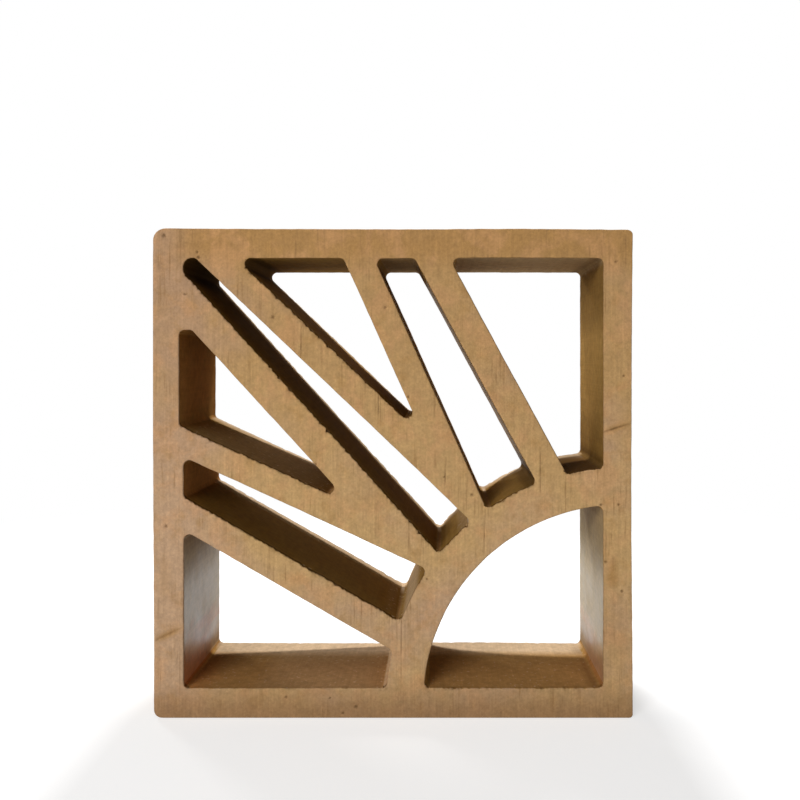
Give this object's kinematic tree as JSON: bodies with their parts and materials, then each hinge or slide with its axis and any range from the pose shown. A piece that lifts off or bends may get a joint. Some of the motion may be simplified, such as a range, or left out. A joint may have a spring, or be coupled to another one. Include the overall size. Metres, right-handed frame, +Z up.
{
  "type": "breeze block",
  "caption": "Square clay breeze block for an open screen wall, pierced by a quarter sun and tapering hollow rays.",
  "frame": {"origin": "middle of the base, halfway through the depth", "axes": "+X along the course, to the side that the sun's corner touches as seen from -Y; +Z up; the openings run along Y"},
  "size_m": [0.29, 0.09, 0.296],
  "materials": {
    "fired_clay": "matt, wire-cut"
  },
  "bodies": {
    "root": {"breeze_block": "fired_clay"}
  },
  "joints": []
}
